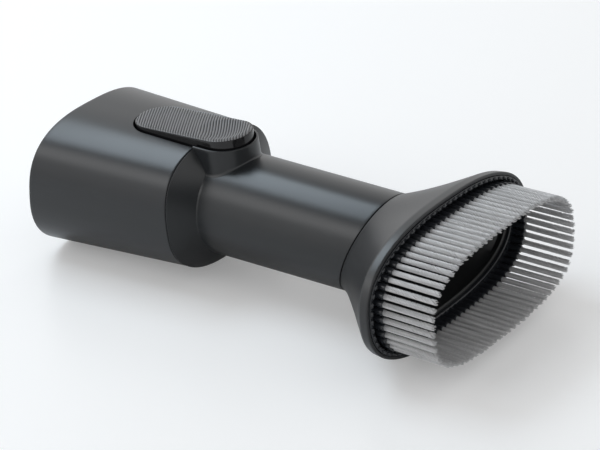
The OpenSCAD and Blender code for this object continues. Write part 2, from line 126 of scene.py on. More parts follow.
def swivelRings(r, ahead, count=sides):
    # rings square to the swivel's own axis
    r, ahead = columns(r, ahead)
    lean = math.radians(body["seamLean"])
    y, z = ovalPoints(r, r, r, 2, 2, turn(count))
    return np.stack([body["seamX"] + ahead[:, None] * math.cos(lean) + z * math.sin(lean), y,
                     -ahead[:, None] * math.sin(lean) + z * math.cos(lean)], -1)


def gridFaces(rows, cols, closeRows=False, closeCols=True):
    # four corners of each cell of a grid of points
    i = np.arange(rows if closeRows else rows - 1)
    j = np.arange(cols if closeCols else cols - 1)
    i, j = [a.ravel() for a in np.meshgrid(i, j, indexing="ij")]
    i2, j2 = (i + 1) % rows, (j + 1) % cols
    return np.stack([i * cols + j, i * cols + j2, i2 * cols + j2, i2 * cols + j], -1)


def gridPart(points, closeRows=False, closeCols=True, flip=False):
    rows, cols = points.shape[:2]
    faces = gridFaces(rows, cols, closeRows, closeCols)
    return points.reshape(-1, 3), faces[:, ::-1] if flip else faces


def cappedPart(points, flip=False):
    # a stack of rings, closed at both ends by drawing the last ring to its middle
    first, last = points[:1].mean(1, keepdims=True), points[-1:].mean(1, keepdims=True)
    cols = points.shape[1]
    full = np.concatenate([np.repeat(first, cols, 1), points, np.repeat(last, cols, 1)])
    return gridPart(full, flip=flip)


def repeated(part, places):
    # one small part at many places; places holds a 3 by 3 frame and an origin for each
    verts, faces = part
    turns, origins = places
    everywhere = np.einsum("pij,vj->pvi", turns, verts) + origins[:, None, :]
    step = np.arange(len(origins))[:, None, None] * len(verts)
    return everywhere.reshape(-1, 3), (faces[None] + step).reshape(-1, faces.shape[1])


def together(parts):
    verts, faces, start = [], [], 0
    for v, f in parts:
        verts.append(v)
        faces.append(f + start)
        start += len(v)
    return np.concatenate(verts), np.concatenate(faces)


def meshOf(name, part, weld=True):
    verts, faces = part
    mesh = bpy.data.meshes.new(name)
    mesh.vertices.add(len(verts))
    mesh.vertices.foreach_set("co", (verts * mm).astype(np.float32).ravel())
    mesh.loops.add(faces.size)
    mesh.loops.foreach_set("vertex_index", faces.astype(np.int32).ravel())
    mesh.polygons.add(len(faces))
    mesh.polygons.foreach_set("loop_start", np.arange(0, faces.size, faces.shape[1], dtype=np.int32))
    mesh.update(calc_edges=True)
    if weld:
        work = bmesh.new()
        work.from_mesh(mesh)
        bmesh.ops.remove_doubles(work, verts=work.verts, dist=2e-6)
        bmesh.ops.dissolve_degenerate(work, dist=1e-7, edges=work.edges)
        work.to_mesh(mesh)
        work.free()
    mesh.validate()
    return mesh


def carve(obj, cutter, operation="DIFFERENCE"):
    # boolean of two closed meshes; the other one is thrown away afterwards
    other = bpy.data.objects.new("cutter", cutter)
    bpy.context.scene.collection.objects.link(other)
    step = obj.modifiers.new("carve", "BOOLEAN")
    step.operation, step.solver, step.object = operation, "MANIFOLD", other
    graph = bpy.context.evaluated_depsgraph_get()
    graph.update()
    made = bpy.data.meshes.new_from_object(obj.evaluated_get(graph))
    obj.modifiers.clear()
    obj.data = made
    bpy.data.objects.remove(other)


def place(name, mesh, onBody, material, replaces=(), crease=32):
    obj = mesh if isinstance(mesh, bpy.types.Object) else bpy.data.objects.new(name, mesh)
    if obj.name not in bpy.context.scene.collection.objects:
        bpy.context.scene.collection.objects.link(obj)
    obj.data.materials.clear()
    obj.data.materials.append(material)
    obj.data.polygons.foreach_set("use_smooth", np.ones(len(obj.data.polygons), bool))
    obj.data.set_sharp_from_angle(angle=math.radians(crease))
    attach(obj, onBody)
    if replaces:
        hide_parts(*replaces)
    return obj


def loose(name, part, weld=True):
    obj = bpy.data.objects.new(name, meshOf(name, part, weld))
    bpy.context.scene.collection.objects.link(obj)
    return obj


# Shader maths is written as expressions on wires

class Wire:
    # one output in a node tree; arithmetic on it adds Math nodes
    def __init__(self, tree, socket):
        self.tree, self.socket = tree, socket

    def math(self, operation, *others):
        return addNode(self.tree, "ShaderNodeMath", {"operation": operation},
                       dict(enumerate((self,) + others)))

    def __add__(self, other):
        return self.math("ADD", other)

    __radd__ = __add__

    def __mul__(self, other):
        return self.math("MULTIPLY", other)

    __rmul__ = __mul__

    def __sub__(self, other):
        return self.math("SUBTRACT", other)

    def __rsub__(self, other):
        return addNode(self.tree, "ShaderNodeMath", {"operation": "SUBTRACT"}, {0: other, 1: self})

    def __truediv__(self, other):
        return self.math("DIVIDE", other)


def addNode(tree, kind, settings=None, inputs=None, output=0):
    node = tree.nodes.new(kind)
    for key, value in (settings or {}).items():
        if key == "stops":
            for n, (at, colour) in enumerate(value):
                stop = node.color_ramp.elements[n] if n < 2 else node.color_ramp.elements.new(at)
                stop.position, stop.color = at, colour
        else:
            setattr(node, key, value)
    for key, value in (inputs or {}).items():
        if isinstance(value, Wire):
            tree.links.new(value.socket, node.inputs[key])
        else:
            node.inputs[key].default_value = value
    return Wire(tree, node.outputs[output]) if len(node.outputs) else None


def newMaterial(name):
    material = bpy.data.materials.new(name)
    material.use_nodes = True
    material.node_tree.nodes.clear()
    return material, material.node_tree


def coords(tree):
    return addNode(tree, "ShaderNodeTexCoord", output="Object")


def noise(tree, vector, scale, detail=3.0, rough=0.55, output="Fac"):
    return addNode(tree, "ShaderNodeTexNoise", {}, {"Vector": vector, "Scale": scale, "Detail": detail,
                                                    "Roughness": rough}, output)


def ramp(tree, value, low, high):
    # zero below low, one above high
    return addNode(tree, "ShaderNodeMapRange", {"clamp": True},
                   {"Value": value, "From Min": low, "From Max": high})


def mixColour(tree, factor, a, b):
    inputs = {"Factor": factor, 6: a, 7: b}
    return addNode(tree, "ShaderNodeMix", {"data_type": "RGBA", "clamp_factor": True}, inputs, 2)


def rgba(colour, gain=1.0):
    return tuple(c * gain for c in colour) + (1.0,)


def finishShader(tree, inputs):
    shader = addNode(tree, "ShaderNodeBsdfPrincipled", {}, inputs)
    addNode(tree, "ShaderNodeOutputMaterial", {}, {"Surface": shader})


def bumpOf(tree, height, strength, distance):
    return addNode(tree, "ShaderNodeBump", {}, {"Height": height, "Strength": strength, "Distance": distance})


def mouldedPlastic(name, look):
    # fine spark-eroded grain, faint cloudiness and a few soft rubs
    material, tree = newMaterial(name)
    at = coords(tree)
    cloud = noise(tree, at, look["cloudScale"], 4.0)
    grain = noise(tree, at, look["grainScale"], 2.0, 0.6)
    streak = noise(tree, addNode(tree, "ShaderNodeVectorMath", {"operation": "MULTIPLY"},
                                 {0: at, 1: (0.25, 1.0, 1.0)}, "Vector"), look["rubScale"], 5.0, 0.7)
    rub = ramp(tree, streak, 0.60, 0.74)
    colour = mixColour(tree, ramp(tree, cloud, 0.3, 0.7), rgba(look["colour"], 1 - look["vary"]),
                       rgba(look["colour"], 1 + look["vary"]))
    colour = mixColour(tree, rub * look["rubAmount"], colour, rgba(look["rubColour"]))
    rough = look["rough"] + (cloud - 0.5) * look["roughVary"] + (grain - 0.5) * look["roughGrain"]
    rough = rough + rub * look["rubRough"]
    finishShader(tree, {"Base Color": colour, "Roughness": rough, "IOR": look["ior"],
                        "Coat Weight": look.get("coat", 0.0), "Coat Roughness": look.get("coatRough", 0.1),
                        "Normal": bumpOf(tree, grain, look["grainStrength"], look["grainDepth"])})
    return material


plasticLook = {
    "cloudScale": 38.0, "grainScale": 2600.0, "rubScale": 90.0, "vary": 0.06,
    "rubAmount": 0.10, "rubColour": (0.06, 0.066, 0.072), "rubRough": 0.03,
    "rough": 0.30, "roughVary": 0.06, "roughGrain": 0.08, "ior": 1.5,
    "grainStrength": 0.16, "grainDepth": 0.00004,
}


def variant(**changes):
    return {**plasticLook, **changes}


shellPlastic = mouldedPlastic("shellPlastic", variant(colour=(0.0185, 0.0205, 0.0230)))
neckPlastic = mouldedPlastic("neckPlastic", variant(colour=(0.0165, 0.0185, 0.0205)))
headPlastic = mouldedPlastic("headPlastic", variant(colour=(0.022, 0.0235, 0.0255), rough=0.34))
innerPlastic = mouldedPlastic("innerPlastic", variant(colour=(0.008, 0.0085, 0.009), rough=0.42))
glossPlastic = mouldedPlastic("glossPlastic", variant(
    colour=(0.010, 0.010, 0.011), rough=0.12, roughVary=0.03, roughGrain=0.0, grainStrength=0.03,
    rubAmount=0.05, rubRough=0.06))
carrierPlastic = mouldedPlastic("carrierPlastic", variant(
    colour=(0.016, 0.018, 0.022), rough=0.24, roughVary=0.05, roughGrain=0.03, grainStrength=0.05))
sealRubber = mouldedPlastic("sealRubber", variant(colour=(0.012, 0.012, 0.013), rough=0.62, ior=1.42))
whitePlastic = mouldedPlastic("whitePlastic", variant(colour=(0.28, 0.285, 0.29), rough=0.34))


def brushedSteel(name, look):
    material, tree = newMaterial(name)
    at = coords(tree)
    fine = noise(tree, addNode(tree, "ShaderNodeVectorMath", {"operation": "MULTIPLY"},
                               {0: at, 1: look["stretch"]}, "Vector"), look["scale"], 4.0, 0.65)
    finishShader(tree, {"Base Color": mixColour(tree, fine, rgba(look["dark"]), rgba(look["light"])),
                        "Metallic": 1.0,
                        "Roughness": look["rough"] + (fine - 0.5) * look["roughVary"],
                        "Normal": bumpOf(tree, fine, 0.1, 0.00003)})
    return material


steel = brushedSteel("steel", {
    "dark": (0.42, 0.43, 0.44), "light": (0.62, 0.63, 0.64), "stretch": (1.0, 0.2, 0.2),
    "scale": 1500.0, "rough": 0.26, "roughVary": 0.12})


def bristleFibre(name, look):
    # nylon filament: colour shifts a little from filament to filament; painted shade darkens it down in the
    # sleeves
    material, tree = newMaterial(name)
    at = coords(tree)
    across = noise(tree, addNode(tree, "ShaderNodeVectorMath", {"operation": "MULTIPLY"},
                                 {0: at, 1: (0.05, 1.0, 1.0)}, "Vector"), look["fibreScale"], 2.0, 0.6)
    along = addNode(tree, "ShaderNodeSeparateXYZ", {}, {"Vector": at}, "X")
    # painted shade: the filaments go darker towards their roots, where the sleeves shade them
    root = ramp(tree, along, look["rootX"], look["rootX"] + look["rootFade"])
    colour = mixColour(tree, ramp(tree, across, 0.3, 0.7), rgba(look["dark"]), rgba(look["light"]))
    colour = mixColour(tree, root, rgba(look["rootShadeColour"]), colour)
    finishShader(tree, {"Base Color": colour, "Roughness": look["rough"] + (across - 0.5) * 0.15, "IOR": 1.5,
                        "Normal": bumpOf(tree, across, 0.15, 0.00003)})
    return material


tuftFibre = bristleFibre("tuftFibre", {
    "fibreScale": 1600.0, "rootX": 0.1735, "rootFade": 0.003, "rootShadeColour": (0.30, 0.30, 0.31),
    "dark": (0.50, 0.50, 0.505), "light": (0.78, 0.78, 0.785), "rough": 0.36})
print("stage: materials made")


collar = {"rearRound": 1.1, "seamRound": 0.55, "slotHalfL": 28.1, "slotR": 11.5, "slotX": 52.7,
          "slotFloor": 20.0}


def pillRings(halfL, r, z, count=192):
    # outline of a slot with round ends, at height z, points spread evenly by direction of travel
    halfL, r, z = columns(halfL, r, z)
    quarter = count // 4
    along = np.linspace(-1, 1, quarter, endpoint=False)[None, :]
    swing = arc(quarter + 1, -90, 90)[None, :-1]
    flat = (halfL - r)[:, None]
    radius = r[:, None]
    x = np.concatenate([along * flat, flat + radius * np.cos(swing),
                        -along * flat, -flat - radius * np.cos(swing)], 1)
    y = np.concatenate([np.broadcast_to(-radius, along.shape if len(z) == 1 else (len(z), quarter)),
                        radius * np.sin(swing), np.broadcast_to(radius, (len(z), quarter)),
                        -radius * np.sin(swing)], 1)
    return np.stack([x, y, np.broadcast_to(z[:, None], x.shape)], -1)


def slotCutter(floorZ):
    rings = pillRings([collar["slotHalfL"]] * 2, collar["slotR"], [floorZ, floorZ + 20.0])
    rings[..., 0] += collar["slotX"]
    return meshOf("slotCutter", cappedPart(rings))


def collarPart():
    # outer skin from rear to seam, then the inner skin back, with a rounded lip at each end
    rear, front, wall = collar["rearRound"], collar["seamRound"], body["wall"]
    a = arc(9, 0, 90)
    rows = [
        collarRings(0.0, rear * (1 - np.sin(a)), rear * (1 - np.cos(a))),
        collarRings(np.linspace(0, 1, 60)[1:], 0, np.linspace(rear, -front, 60)[1:]),
        collarRings(1.0, front * (1 - np.cos(a[1:])), -front * (1 - np.sin(a[1:]))),
        collarRings(1.0, wall, 0.0), collarRings(1.0, wall, -6.0), collarRings(0.5, wall, 0.0),
        collarRings(0.0, wall, rear), collarRings(0.0, wall - 0.5, 0.1),
    ]
    return gridPart(np.concatenate(rows), closeRows=True)


collarShell = loose("collarShell", collarPart())
carve(collarShell, slotCutter(collar["slotFloor"]))
place("collarShell", collarShell, "body", shellPlastic, ["collar_shell"])
print("stage: collar made")


# The neck is shoulder, tube and the boss round the front of the button

neck = {"lip": 2.55, "lipLen": 4.0, "lipWall": 2.2, "edge": 0.45, "inletX": 52.0, "inletR": 20.4,
        "bossX": 69.3, "bossR": 12.2, "bossDraft": 0.35, "bossTop": 27.2, "bossFoot": 14.6, "fillet": 0.8,
        "topRound": 0.4, "pocketFloor": 21.8, "seamRound": 0.3, "creaseLip": 0.12, "creaseLen": 0.5}


def flatCollarRing(inset, x):
    ring = collarRings(1.0, inset)
    ring[..., 0] = x
    return ring


def tubeRings(share, r, inset=0.0):
    # from the crease to the leaning seam: each point goes straight from one plane to the other
    share, inset = columns(share, inset)
    grow = (body["tubeEndR"] - body["tubeR"]) / (body["seamX"] - body["creaseX"])
    angles = turn(sides)
    s = np.sin(angles)[None, :]
    base = (r - inset)[:, None] if np.ndim(inset) else r - inset
    slope = grow if r > body["boreR"] + 0.5 else 0.0
    end = body["seamX"] - 0.5 * body["smallGap"] / math.cos(math.radians(body["seamLean"]))
    endX = (end + leanRatio * s * (base - slope * body["creaseX"])) / (1 - leanRatio * slope * s)
    x = mix(body["creaseX"], endX, share[:, None])
    radius = base + slope * (x - body["creaseX"])
    return np.stack([x, radius * np.cos(angles), radius * s], -1)


def neckPart():
    start = body["collarLen"] + body["smallGap"]
    a = arc(7, 0, 90)
    edge = neck["edge"]
    foot = flatCollarRing(0.0, start + edge)
    crease = roundRings(body["creaseX"], body["tubeR"] + neck["creaseLip"])
    shoulder = mix(foot, crease, np.linspace(0, 1, 24)[1:, None, None])
    innerFoot = flatCollarRing(neck["lip"] + neck["lipWall"], body["collarLen"])
    inside = mix(roundRings(body["creaseX"] - neck["lipWall"], neck["inletR"]), innerFoot,
                 np.linspace(0, 1, 6)[1:, None, None])
    last = neck["seamRound"]
    length = body["seamX"] - body["creaseX"]
    rows = [
        flatCollarRing(neck["lip"], body["collarLen"] - neck["lipLen"]), flatCollarRing(neck["lip"], start),
        np.concatenate([flatCollarRing(edge * (1 - np.sin(v)), start + edge * (1 - np.cos(v))) for v in a]),
        shoulder,
        tubeRings(neck["creaseLen"] / length, body["tubeR"]),
        tubeRings(np.linspace(2 * neck["creaseLen"] / length, 1 - last / length, 70), body["tubeR"]),
        tubeRings(1 - last * (1 - np.sin(a[1:])) / length, body["tubeR"], last * (1 - np.cos(a[1:]))),
        tubeRings(1.0, body["boreR"]),
        roundRings([body["creaseX"], neck["inletX"]], body["boreR"]),
        roundRings([neck["inletX"], body["creaseX"] - neck["lipWall"]], neck["inletR"]),
        inside,
        flatCollarRing(neck["lip"] + neck["lipWall"], body["collarLen"] - neck["lipLen"]),
    ]
    return gridPart(np.concatenate(rows), closeRows=True)


def bossPart():
    # walls that lean in a little, a round top edge, and a hollow fillet that runs out on the tube
    startX = body["collarLen"] + body["smallGap"]
    flat = np.linspace(0, 1, 20, endpoint=False)
    swing = arc(96, -90, 90)
    dirX = np.concatenate([np.zeros(20), np.cos(swing), np.zeros(20)])
    dirY = np.concatenate([-np.ones(20), np.sin(swing), np.ones(20)])
    coreX = np.concatenate([mix(startX, neck["bossX"], flat), np.full(96, neck["bossX"]),
                            mix(neck["bossX"], startX, flat + 0.05)])
    reach, height = [], []
    for v in arc(6, 90, 0):  # top edge
        reach.append(np.full(len(dirX), neck["bossR"] - neck["topRound"] * (1 - np.cos(v))))
        height.append(np.full(len(dirX), neck["bossTop"] - neck["topRound"] * (1 - np.sin(v))))
    rho = neck["fillet"]

    def tubeTop(r):
        return np.sqrt(np.maximum((body["tubeR"] - 0.02) ** 2 - (r * dirY) ** 2, 1.0))
    wallR = neck["bossR"] + neck["bossDraft"]
    foot = tubeTop(wallR + rho * 0.3) + rho
    for share in np.linspace(0.1, 1, 8):
        reach.append(mix(neck["bossR"], wallR, share) + np.zeros(len(dirX)))
        height.append(mix(neck["bossTop"] - neck["topRound"], foot, share))
    for v in arc(9, 8, 80):
        r = wallR + rho * (1 - np.cos(v))
        reach.append(r + np.zeros(len(dirX)))
        height.append(tubeTop(r) + rho * (1 - np.sin(v)))
    reach.append(reach[-1])
    height.append(np.full(len(dirX), neck["bossFoot"]))
    reach, height = np.array(reach), np.array(height)
    points = np.stack([coreX + reach * dirX, reach * dirY, height], -1)
    return cappedPart(points[::-1])


neckShell = loose("neckShell", neckPart())
boss = loose("boss", bossPart())
carve(boss, meshOf("ductRoom", cappedPart(roundRings([40.0, 110.0], body["tubeR"] - 1.4, 96))))
carve(neckShell, boss.data, "UNION")
carve(neckShell, slotCutter(neck["pocketFloor"]))
bpy.data.objects.remove(boss)
place("neckShell", neckShell, "body", neckPlastic, ["neck_tube"])
print("stage: neck made")


# The head is flare, rounded corner and rim

head = {"cornerAt": 167.9, "cornerIn": 0.35, "cornerBack": 0.035, "cornerAhead": 0.7, "rimRound": 0.45,
        "lipW": 1.2, "carrierX": 168.0, "plateT": 1.6, "plateInset": 3.5, "innerInset": 5.2,
        "flangeR": 17.75, "sealR": 16.55,
        "spigotBore": 12.4, "funnelWall": 1.6, "mouthInset": 8.8, "mouthWall": 1.2,
        "plateGap": 0.15}


def headPart():
    root = seamRings(body["tubeEndR"], 0.15 + 0.3)
    sharp = rimRings(head["cornerIn"], head["cornerAt"])
    ahead = rimRings(head["cornerIn"] * 0.8, head["cornerAt"] + head["cornerAhead"])
    behind = mix(root, sharp, 1 - head["cornerBack"])
    s = np.linspace(0, 1, 12)[1:, None, None]
    corner = behind * (1 - s) ** 2 + sharp * 2 * s * (1 - s) + ahead * s ** 2
    a = arc(7, 0, 90)
    rim = head["rimRound"]
    plateBack = head["carrierX"] - head["plateT"]
    inner = rimRings(head["innerInset"], plateBack - 1.2)
    innerRoot = swivelRings(head["flangeR"], 2.6)
    rows = [
        seamRings(body["tubeEndR"] - 0.3 * (1 - np.sin(a)), 0.15 + 0.3 * (1 - np.cos(a))),
        mix(root, behind, np.linspace(0, 1, 44)[1:, None, None]),
        corner,
        mix(ahead, rimRings(0.0, body["rimX"] - rim), np.linspace(0, 1, 5)[1:, None, None]),
        rimRings(rim * (1 - np.cos(a[1:])), body["rimX"] - rim * (1 - np.sin(a[1:]))),
        rimRings([head["lipW"] - 0.15, head["lipW"]], [body["rimX"], body["rimX"] - 0.15]),
        rimRings([head["lipW"], head["plateInset"], head["plateInset"]],
                 [head["carrierX"], head["carrierX"], plateBack]),
        inner, mix(inner, innerRoot, np.linspace(0, 1, 12)[1:, None, None]),
        swivelRings([head["flangeR"], head["sealR"], head["sealR"]], [0.6, 0.6, 0.15]),
    ]
    return gridPart(np.concatenate(rows), closeRows=True)


place("headShell", meshOf("headShell", headPart()), "head", headPlastic, ["head_shell"])


def funnelPart():
    start, face = 2.6, head["carrierX"]
    back = face - head["plateT"]
    plateIn = head["plateInset"] + head["plateGap"]
    wide = head["mouthInset"] - head["mouthWall"]
    inner = swivelRings(head["spigotBore"], start)
    outer = swivelRings(head["spigotBore"] + head["funnelWall"], start)
    mouthBack, outBack = rimRings(head["mouthInset"], back - 1.0), rimRings(wide, back - 0.6)

    def eased(a, b, count):
        s = np.linspace(0, 1, count)[1:-1]
        return mix(a, b, (s + 0.08 * np.sin(2 * np.pi * s))[:, None, None])
    a = arc(6, 0, 90)
    rows = [inner, outer, eased(outer, outBack, 16), outBack,
            rimRings([wide - 0.3, plateIn, plateIn, wide], [back, back, face, face]),
            rimRings(head["mouthInset"] - 0.5 * np.cos(a), face - 0.5 * (1 - np.sin(a[::-1]))),
            mouthBack, eased(mouthBack, inner, 20)]
    return gridPart(np.concatenate(rows), closeRows=True)


place("suctionFunnel", meshOf("suctionFunnel", funnelPart()), "head", innerPlastic,
      ["suction_funnel"])
print("stage: head made")


# The brush is a carrier with sleeves and beads, and the tufts

brush = {"halfW": 44.1, "halfH": 20.7, "full": 2.95, "pitch": 2.95,
         "sleeveR": 1.36, "sleeveBore": 1.1, "sleeveRound": 0.34,
         "flangeOut": 1.35, "flangeW": 1.7, "flangeFace": 172.0, "baseTop": 169.4, "sleeveTop": 174.6,
         "tuftStart": 169.5, "tuftTip": 195.6, "beadAlong": 1.15, "beadAcross": 0.72, "beadH": 0.75,
         "fibres": 12, "fibreR": 0.20, "bundleR": 0.80, "turns": 3.2, "fibreRows": 46, "tipRagged": 0.5}


def ringPlaces(halfW, halfH, full, x):
    # as many places as tufts, evenly spaced along an oval: frame (out, along, forward) and origin for each
    dense = np.linspace(0, 2 * np.pi, 7201)

    def at(width, tall, fullness, angles):
        y, z = ovalPoints(np.array([width]), np.array([tall]), np.array([tall]), fullness, fullness, angles)
        return np.stack([y[0], z[0]], -1)

    def travelled(line):
        return np.concatenate([[0], np.cumsum(np.hypot(*np.diff(line, axis=0).T))])
    count = int(travelled(at(brush["halfW"], brush["halfH"], brush["full"], dense))[-1] // brush["pitch"])
    run = travelled(at(halfW, halfH, full, dense))
    angles = np.interp((np.arange(count) + 0.5) * run[-1] / count, run, dense)
    p, q = at(halfW, halfH, full, angles), at(halfW, halfH, full, angles + 1e-4)
    along = (q - p) / np.linalg.norm(q - p, axis=1, keepdims=True)
    out = np.stack([along[:, 1], -along[:, 0]], -1)
    zero = np.zeros((count, 1))
    frames = np.stack([np.concatenate([zero, out], 1), np.concatenate([zero, along], 1),
                       np.tile([1.0, 0.0, 0.0], (count, 1))], -1)
    return frames, np.concatenate([np.full((count, 1), x), p], 1)


def tuftPlaces(x):
    return ringPlaces(brush["halfW"], brush["halfH"], brush["full"], x)


def lathePart(profile, cols, closed=True):
    # profile of radius and height turned about the third axis
    r, h = np.array(profile, float).T
    angles = turn(cols)
    points = np.stack([r[:, None] * np.cos(angles), r[:, None] * np.sin(angles),
                       np.broadcast_to(h[:, None], (len(r), cols))], -1)
    return gridPart(points, closeRows=closed)


def carrierPart():
    out, width = brush["flangeOut"], brush["flangeW"]
    inn = head["mouthInset"] - head["mouthWall"]
    face, base, back = brush["flangeFace"], brush["baseTop"], head["carrierX"]
    a = arc(5, 0, 90)
    soft = 0.3
    rows = [
        rimRings(out, back), rimRings(out, face - soft),
        rimRings(out + soft * (1 - np.cos(a)), face - soft * (1 - np.sin(a))),
        rimRings(out + width - soft * (1 - np.sin(a)), face - soft * (1 - np.cos(a))),
        rimRings([out + width, inn - 0.3, inn], [base, base, base - 0.3]), rimRings(inn, back),
    ]
    ring = gridPart(np.concatenate(rows), closeRows=True)
    high = brush["sleeveTop"] - base
    r, bore, soft = brush["sleeveR"], brush["sleeveBore"], brush["sleeveRound"]
    b = arc(5, 0, 90)
    profile = [(r + 0.25, -0.3), (r + 0.06, 0.5), (r, 1.4)]
    profile += [(r - soft * (1 - np.cos(v)), high - soft * (1 - np.sin(v))) for v in b]
    profile += [(bore, high - 0.12), (bore, 0.2)]
    sleeve = lathePart(profile, 20)
    places = tuftPlaces(base)
    bead = [(brush["beadAlong"] * np.cos(v), brush["beadH"] * np.sin(v)) for v in arc(6, 0, 88)]
    bead = [(0.0, -0.3), (brush["beadAlong"], -0.3)] + bead + [(0.0, brush["beadH"])]
    beadV, beadF = lathePart(bead, 14, closed=False)
    beadV = beadV * [brush["beadAcross"] / brush["beadAlong"], 1.0, 1.0]
    mid = out + width / 2
    line = ringPlaces(body["rimHalfW"] - mid, body["rimHalfH"] - mid, body["rimFull"], face - 0.03)
    return together([ring, repeated(sleeve, places), repeated((beadV, beadF), line)])


place("brushCarrier", meshOf("brushCarrier", carrierPart()), "head", carrierPlastic,
      ["brush_carrier"], 40)


def tuftPart(which):
    # filaments twisted round their tuft: outer ones full length, inner ones only near the tip, over a plain core
    frames, origins = tuftPlaces(brush["tuftStart"])
    length = brush["tuftTip"] - brush["tuftStart"]
    draws = seed.uniform(-1, 1, (len(origins), brush["fibres"] + 7, 4))
    angles = turn(4)
    parts = []
    for n in range(brush["fibres"] + 7):
        outer = n < brush["fibres"]
        rows = brush["fibreRows"] if outer else 3
        place0 = n * 2 * np.pi / brush["fibres"] if outer else (n - brush["fibres"]) * 2 * np.pi / 6
        ringR = brush["bundleR"] if outer else (0.0 if n == brush["fibres"] + 6 else brush["bundleR"] * 0.5)
        s = np.linspace(0.0 if outer else 0.86, 1, rows)
        d = draws[:, n]
        tip = length + brush["tipRagged"] * (d[:, 0:1] - 0.6)
        phase = place0 + draws[:, 0, 3:4] * np.pi + s * brush["turns"] * 2 * np.pi + d[:, 1:2] * 0.10
        wide = ringR * (1 + 0.07 * s ** 2) + 0.05 * d[:, 2:3] * s ** 2
        cx, cy, cz = wide * np.cos(phase), wide * np.sin(phase), tip * s
        close = np.where(s > 0.999, 0.55, 1.0) * brush["fibreR"] * (1.0 if outer else 1.1)
        px = cx[..., None] + close[None, :, None] * np.cos(angles + 0.3)
        py = cy[..., None] + close[None, :, None] * np.sin(angles + 0.3)
        pz = np.broadcast_to(cz[..., None], px.shape)
        local = np.stack([px, py, pz], -1)
        world = np.einsum("pij,prcj->prci", frames, local) + origins[:, None, None, :]
        ends = [np.repeat(world[:, k].mean(2, keepdims=True), 4, 2) for k in (slice(0, 1), slice(-1, None))]
        world = np.concatenate([ends[0], world, ends[1]], 1)[which]
        count, rows2, cols = world.shape[:3]
        faces = gridFaces(rows2, cols)
        step = np.arange(count)[:, None, None] * rows2 * cols
        parts.append((world.reshape(-1, 3), (faces[None] + step).reshape(-1, 4)))
    core = lathePart([(0.0, 0.0), (0.68, 0.02), (0.68, length - 1.2), (0.0, length - 0.9)], 8, closed=False)
    parts.append(repeated(core, (frames[which], origins[which])))
    return together(parts)


half = tuftPlaces(0.0)[1][:, 2] > 0
for name, which in (("tuftsUpper", half), ("tuftsLower", ~half)):
    obj = place(name, meshOf(name, tuftPart(which)), "head", tuftFibre,
                ["bristle_tufts"] if name == "tuftsUpper" else (), 70)
print("stage: brush made")


# The button is a glossy lever round a ribbed pad

button = {"x": 52.7, "z": 29.9, "slope": 2.5, "halfL": 26.8, "r": 10.2, "leverR": 10.6, "leverHalfL": 27.2,
          "rimTop": -0.3, "bottom": -5.2, "padT": 3.2, "floorT": 1.2, "wall": 1.3, "gap": 0.05,
          "domeR": 120.0, "domeTop": 0.6, "thumbU": 15.1, "thumbR": 9.3, "thumbDepth": 1.8, "thumbRaise": 0.4,
          "ribPitch": 1.3, "ribSkew": 34.0, "ribH": 0.6, "edgeRound": 0.35}


def inButtonFrame(points):
    a = math.radians(button["slope"])
    x, y, z = points[..., 0], points[..., 1], points[..., 2]
    return np.stack([button["x"] + x * math.cos(a) - z * math.sin(a), y,
                     button["z"] + x * math.sin(a) + z * math.cos(a)], -1)


def leverPart():
    top, low, floor = button["rimTop"], button["bottom"], -button["padT"]
    a = arc(6, 0, 90)
    soft = 0.28
    full = button["leverR"]
    well = full - button["r"] - button["gap"]
    inset = np.concatenate([[0.3, 0.0, 0.0], soft * 0.5 * (1 - np.cos(a)),
                            [well, well, full - 0.02, full - 0.02], [button["wall"], button["wall"]]])
    z = np.concatenate([[low, low + 0.3, top - 1.0], top - soft * 0.5 * (1 - np.sin(a)),
                        [top - 0.1, floor, floor, floor - button["floorT"]], [floor - button["floorT"], low]])
    rings = pillRings(button["leverHalfL"] - inset, full - inset, z)
    return gridPart(inButtonFrame(rings), closeRows=True)


def extruded(outline, y0, y1):
    # flat outline in X and Z carried across
    xz = np.array(outline, float)
    rings = np.stack([np.stack([xz[:, 0], np.full(len(xz), y), xz[:, 1]], -1) for y in (y0, y1)])
    return cappedPart(rings, flip=True)


latch = {"pinX": 44.0, "pinZ": 22.8, "lugR": 2.6, "lugIn": 6.5, "lugOut": 8.9, "hookBack": 14.0, "hookZ": 17.8,
         "hookHalfL": 2.0, "hookHalfW": 3.2}


def leverUnderside():
    # two lugs on the pin, and the hook that goes down to the sleeve
    pinX, pinZ, lugR = latch["pinX"], latch["pinZ"], latch["lugR"]
    under = button["z"] - button["padT"] - button["floorT"]
    swing = arc(24, 180, 360)
    lug = [(pinX + lugR * np.cos(v), pinZ + lugR * np.sin(v)) for v in swing]
    lug += [(pinX + lugR, under - 0.2), (pinX - lugR, under - 0.2)]
    hookX, low, half = pinX - latch["hookBack"], latch["hookZ"], latch["hookHalfL"]
    hook = [(hookX - half, under - 0.6), (hookX - half, low + 2.2), (hookX + 0.4, low), (hookX + half, low),
            (hookX + half, under - 0.6)]
    near, far = latch["lugIn"], latch["lugOut"]
    return together([extruded(lug, -far, -near), extruded(lug, near, far),
                     extruded(hook, -latch["hookHalfW"], latch["hookHalfW"])])


place("buttonLever", meshOf("buttonLever", together([leverPart(), leverUnderside()])), "button",
      glossPlastic, ["button_lever"])


